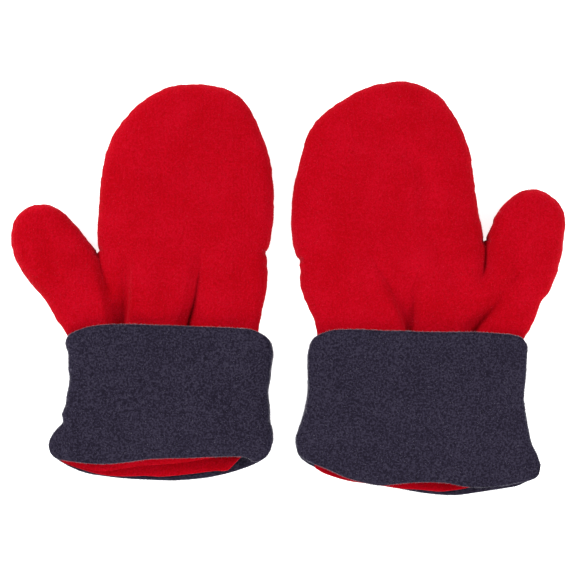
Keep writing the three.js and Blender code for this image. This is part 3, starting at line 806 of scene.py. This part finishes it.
def flap_edge(m, inset=0.0):
    """The flap's free edge, from its +axis side to its -axis side, with round corners."""
    line = m["lines"][1]
    low, high = sorted((along_fold(m, line[:1])[0], along_fold(m, line[-1:])[0]))
    low, high = low + FLAP_INSET + inset, high - FLAP_INSET - inset
    bottom, r = -FLAP + inset, FLAP_CORNER - inset
    corner = np.linspace(0, math.pi / 2, 10)
    uv = [(high, 0.3)]
    uv += [(high - r + r * math.cos(a), bottom + r - r * math.sin(a)) for a in corner]
    uv += [(low + r - r * math.sin(a), bottom + r - r * math.cos(a)) for a in corner]
    uv += [(low, 0.3)]
    uv = resampled(uv, EDGE_STEP)
    return m["fold_at"] + uv[:, :1] * m["fold_axis"] + uv[:, 1:] * m["to_fingers"]


def cap_palm_piece(m):
    """The cap's palm side, with the flap that overlaps the palm."""
    line = m["lines"][1]
    flap = flap_edge(m)
    polygon = np.vstack([line, flap])

    def surface(points, d):
        flat = np.c_[points, np.zeros(len(points))]
        lift = 0.45 + 0.2 * noise(flat, 18, m["seed"] + 5)
        return palm_height(m, points, d, lift)

    vertices, faces, _, _ = cloth(polygon, [line], surface, -1, PALM_FINE)
    return make_object(f"{m['name']}_cap_palm_cloth", vertices, faces, red)


def stitches(path, up, radius):
    """A row of short raised stitches along a path."""
    path = resampled(path, STITCH_SPACING)
    parts = []
    for a, b in zip(path[:-1], path[1:]):
        way = unit(b - a)
        middle = (a + b) / 2
        dome = [middle + way * STITCH_LENGTH / 2 * t + np.asarray(up) * radius * 0.5 * (1 - t * t)
                for t in (-1, -0.5, 0, 0.5, 1)]
        parts.append(swept(dome, up, 2 * radius, 2 * radius, 2))
    return joined(parts)


def binding_pieces(m):
    """The two bound edges on the palm side, and the stitching on them."""
    start, end = m["lines"][0][-1], m["lines"][2][0]
    points = np.array([start + share * (end - start) for share in np.linspace(0, 1, 110)])
    points += (PALM_EDGE - past_fold(m, points))[:, None] * m["to_fingers"]
    d = np.min([nearest(points, line)[0] for line in (m["lines"][0], m["lines"][2])], axis=0)
    z = palm_height(m, points, d + 0.6, palm_under(m, points)) + FLEECE / 2 + 0.1
    path = np.c_[points, z][2:-2]
    normal = np.cross(np.gradient(path, axis=0), np.r_[m["to_fingers"], 0])
    edge = swept(path, normal, TAPE, TAPE_HEIGHT)
    palm_edge = make_object(f"{m['name']}_palm_edge_tape", *edge, tape)
    row = stitches(path[6:-6] + np.r_[m["to_fingers"] * -1.1, -TAPE_HEIGHT / 2], (0, 0, -1), 0.28)
    palm_thread = make_object(f"{m['name']}_palm_edge_stitching", *row, thread)

    flap = flap_edge(m)
    edge = swept(np.c_[flap, np.full(len(flap), 1.62)], (0, 0, 1), TAPE, FLAP_TAPE_HEIGHT)
    cap_edge = make_object(f"{m['name']}_cap_edge_tape", *edge, tape)
    inner = flap_edge(m, 1.2)
    row = stitches(np.c_[inner, np.full(len(inner), 0.26)], (0, 0, -1), 0.2)
    cap_thread = make_object(f"{m['name']}_cap_edge_stitching", *row, thread)
    return palm_edge, palm_thread, cap_edge, cap_thread


def elastic_pieces(m):
    """Two flat elastics, gathered a little, round the inside of the wrist."""
    x0, x1 = (m["lines"][k][np.argmin(abs(m["lines"][k][:, 1] - ELASTIC_Y)), 0] for k in (0, 2))
    xs = np.linspace(x0 + 5, x1 - 5, 160)
    points = np.c_[xs, np.full(len(xs), ELASTIC_Y)]
    d = np.minimum(xs - x0, x1 - xs)
    gather = 0.25 * np.sin(xs / 1.5)
    inside_cloth = FLEECE + ELASTIC_UNDER_CLOTH
    top = seam_height(points) + SEAM_GAP + back_height(m, points, d) - inside_cloth + gather
    low = palm_height(m, points, d, palm_under(m, points)) + inside_cloth + gather
    made = []
    for side, z in (("back", top), ("palm", low)):
        strip = swept(np.c_[points, z], (0, 0, 1), ELASTIC_WIDTH, ELASTIC_THICKNESS)
        made.append(make_object(f"{m['name']}_elastic_{side}", *strip, elastic))
    return made


def cuff_piece(m):
    """The turned-up cuff: a flattened tube of doubled fleece, with a soft fold at the top and at the mouth."""
    columns, rows = ((520, 120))
    r = CUFF_THICKNESS / 2
    angle = np.linspace(0, 2 * math.pi, 4001)
    c, s = np.cos(angle), np.sin(angle)
    squareness = np.where(s >= 0, 3.4, 4.6)
    ring = np.c_[-np.sign(c) * np.abs(c) ** (2 / squareness), np.sign(s) * np.abs(s) ** (2 / squareness)]
    lengths = np.r_[0, np.cumsum(np.linalg.norm(np.diff(ring * [65, 11.5], axis=0), axis=1))]
    at = np.linspace(0, lengths[-1], columns, endpoint=False)
    sx, sz = (np.interp(at, lengths, ring[:, k]) for k in range(2))
    top, front, back = (height_over(m[k]) for k in ("cuff_top", "cuff_front", "cuff_back"))
    left, right = across(m["cuff_left"]), across(m["cuff_right"])
    v = np.linspace(0, 1, rows)[:, None]
    sides = [side(points[0][1] + v * (points[-1][1] - points[0][1]))
             for points, side in ((m["cuff_left"], left), (m["cuff_right"], right))]
    share = (1 + sx[None]) / 2
    x = sides[0] + share * (sides[1] - sides[0])
    mouth = np.where(sz >= 0, front(x[-1]), back(x[-1]))
    y = (top(x[0]) - r)[None] * (1 - v) + (mouth + r)[None] * v
    flatten = ease(-y, *CUFF_SLOPE)
    seam = SEAM_Z - CUFF_SEAM_DIP * flatten
    crown = CUFF_TOP_Z - CUFF_CROWN_FALL * flatten
    z = np.where(sz >= 0, seam + (crown - seam) * sz, np.maximum(seam + 1.12 * seam * sz, 0.2))
    grid = np.stack([x, y, z], axis=2)
    flat = grid.reshape(-1, 3)
    wave = (0.9 * noise(flat, 30, m["seed"] + 20) + 0.45 * noise(flat, 12, m["seed"] + 21)).reshape(z.shape)
    free = ease(sz, 0.1, 0.8)[None]
    grid[..., 2] += wave * free
    pebbles = 0.22 * noise(flat, 1.9, m["seed"] + 22).reshape(z.shape) * ease(z, 0.5, 3)
    across_ring = np.roll(grid, -1, axis=1) - np.roll(grid, 1, axis=1)
    down = np.gradient(grid, axis=0)
    normal = unit(np.cross(across_ring, down))
    if normal[rows // 2, columns // 4, 2] < 0:
        normal = -normal
    grid += pebbles[..., None] * normal
    inner = grid - CUFF_THICKNESS * normal
    loops = list(grid)
    for row, way in ((-1, 1), (0, -1)):
        centre = grid[row] - r * normal[row]
        out = unit(down[row]) * way
        arc = [centre + r * (math.cos(a) * normal[row] + 1.12 * math.sin(a) * out)
               for a in np.linspace(0, math.pi, 8)[1:-1]]
        if row == -1:
            loops += arc + list(inner[::-1][::3])
        else:
            loops += arc[::-1]
    vertices = np.array(loops)
    n, k = vertices.shape[:2]
    flat = vertices.reshape(-1, 3)
    faces = []
    for i in range(n):
        j = (i + 1) % n
        for a in range(k):
            b = (a + 1) % k
            faces.append([i * k + a, i * k + b, j * k + b, j * k + a])
    if (np.cross(vertices[5, columns // 4 + 1] - vertices[5, columns // 4],
                 vertices[6, columns // 4] - vertices[5, columns // 4])[2]) < 0:
        faces = [f[::-1] for f in faces]
    shown = np.array([f for i, f in enumerate(faces) if i // k < rows + 5 or i // k >= n - 7])
    triangles = np.vstack([shown[:, [0, 1, 2]], shown[:, [0, 2, 3]]])

    # These fibres carry a painted highlight and stand thickest on the folded edges, as a light rim.
    def density(points, normals):
        return fibres(normals, 0.08, 6) * ease(points[:, 2], 0, 2)

    fuzz = nap(f"{m['name']}_cuff_nap", flat, triangles, density, 0.95, navy_nap_painted_highlight, m["seed"] + 41)
    return make_object(f"{m['name']}_cuff", flat, faces, navy), fuzz


def bend_weights(piece, follows):
    """Sets how far each point of a piece that bends follows the cap, from 0 to 1."""
    co = np.zeros(len(piece.data.vertices) * 3, np.float32)
    piece.data.vertices.foreach_get("co", co)
    points = co.reshape(-1, 3).astype(float) / MM
    weights = np.zeros(len(points), np.float32)
    attribute = piece.data.attributes["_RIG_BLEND"].data
    attribute.foreach_get("value", weights)
    attribute.foreach_set("value", follows(points, weights.astype(float)).astype(np.float32))


def mitten(spec):
    m = prepared(spec)
    name = m["name"]
    hand, cap, cuff = f"{name}_hand", f"{name}_cap", f"{name}_cuff"
    (back, back_nap), (sleeve, sleeve_nap) = back_piece(m), cuff_piece(m)
    palm, cap_palm = palm_piece(m), cap_palm_piece(m)
    palm_edge, palm_thread, cap_edge, cap_thread = binding_pieces(m)
    elastics = elastic_pieces(m)

    bend_start = np.r_[m["fold_at"], 0] * MM
    bend_end = np.r_[m["fold_at"] + CAP_BEND * m["to_fingers"], 0] * MM
    for piece in (back, back_nap, cap_palm):
        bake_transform(piece, hand, cap, start=tuple(bend_start), end=tuple(bend_end))
    # The thumb lies beside the cap and stays with the hand.
    for piece in (back, back_nap):
        bend_weights(piece, lambda points, w: np.where(is_thumb(m, points), 0, w))

    def palm_side(points, w):
        """Away from its side seams, the cap's palm side is free of the palm and goes with the cap."""
        to_seam = nearest(points[:, :2], m["lines"][1])[0]
        return 1 - (1 - w) * (1 - ease(to_seam, 2.5, 8))

    bend_weights(cap_palm, palm_side)
    for piece in (palm, palm_edge, palm_thread, *elastics):
        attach(piece, hand)
    for piece in (cap_edge, cap_thread):
        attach(piece, cap)
    for piece in (sleeve, sleeve_nap):
        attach(piece, cuff)

    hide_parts(f"{name}_back_of_hand", f"{name}_cap_back")
    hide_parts(f"{name}_palm")
    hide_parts(f"{name}_cap_palm")
    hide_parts(f"{name}_palm_edge_binding")
    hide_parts(f"{name}_cap_edge_binding")
    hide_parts(f"{name}_wrist_elastic_back")
    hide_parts(f"{name}_wrist_elastic_palm")
    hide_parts(f"{name}_cuff_back", f"{name}_cuff_palm")


mitten(RIGHT)
mitten(LEFT)


# ---------------------------------------------------------------- floor, light and camera

def plain(name, color, roughness, glow):
    material = bpy.data.materials.new(name)
    material.use_nodes = True
    set_inputs(material.node_tree.nodes["Principled BSDF"], Base_Color=(*color, 1), Roughness=roughness,
               Emission_Color=(1, 1, 1, 1), Emission_Strength=glow)
    return material


def area_light(name, place, size, power):
    """A round softbox that points at the middle of the pair."""
    light = bpy.data.lights.new(name, "AREA")
    light.shape = "DISK"
    light.size = size
    light.energy = power
    lamp = bpy.data.objects.new(name, light)
    lamp.location = place
    lamp.rotation_euler = (-Vector(place)).to_track_quat("-Z", "Y").to_euler()
    bpy.context.scene.collection.objects.link(lamp)


floor_mesh = bpy.data.meshes.new("floor")
reach = 6.0
floor_mesh.from_pydata([(-reach, -reach, 0), (reach, -reach, 0), (reach, reach, 0), (-reach, reach, 0)], [],
                       [(0, 1, 2, 3)])
floor_mesh.materials.append(plain("floor", (0.94, 0.94, 0.94), 0.9, 0.8))
floor = bpy.data.objects.new("floor", floor_mesh)
floor.location.z = -0.0003
bpy.context.scene.collection.objects.link(floor)

world = bpy.data.worlds.new("studio")
world.use_nodes = True
set_inputs(world.node_tree.nodes["Background"], Color=(1, 1, 1, 1), Strength=0.5)
bpy.context.scene.world = world
area_light("left_softbox", (-1.15, 0.7, 0.8), 0.7, 32)
area_light("right_softbox", (1.15, 0.1, 0.8), 0.7, 17)
area_light("front_softbox", (0, -1.3, 0.45), 0.8, 17)

VIEW_WIDTH = 0.3629  # metres, at the distance of the pair
DISTANCE = 1.15
ELEVATION = math.radians(88.5)
SENSOR = 36.0
aim = Vector((0, 0, 0.013))
camera_data = bpy.data.cameras.new("camera")
camera_data.sensor_width = SENSOR
camera_data.lens = SENSOR * DISTANCE / VIEW_WIDTH
camera = bpy.data.objects.new("camera", camera_data)
camera.location = aim + DISTANCE * Vector((0, -math.cos(ELEVATION), math.sin(ELEVATION)))
camera.rotation_euler = (aim - camera.location).to_track_quat("-Z", "Y").to_euler()
bpy.context.scene.collection.objects.link(camera)
bpy.context.scene.camera = camera
bpy.context.scene.view_settings.view_transform = "Standard"
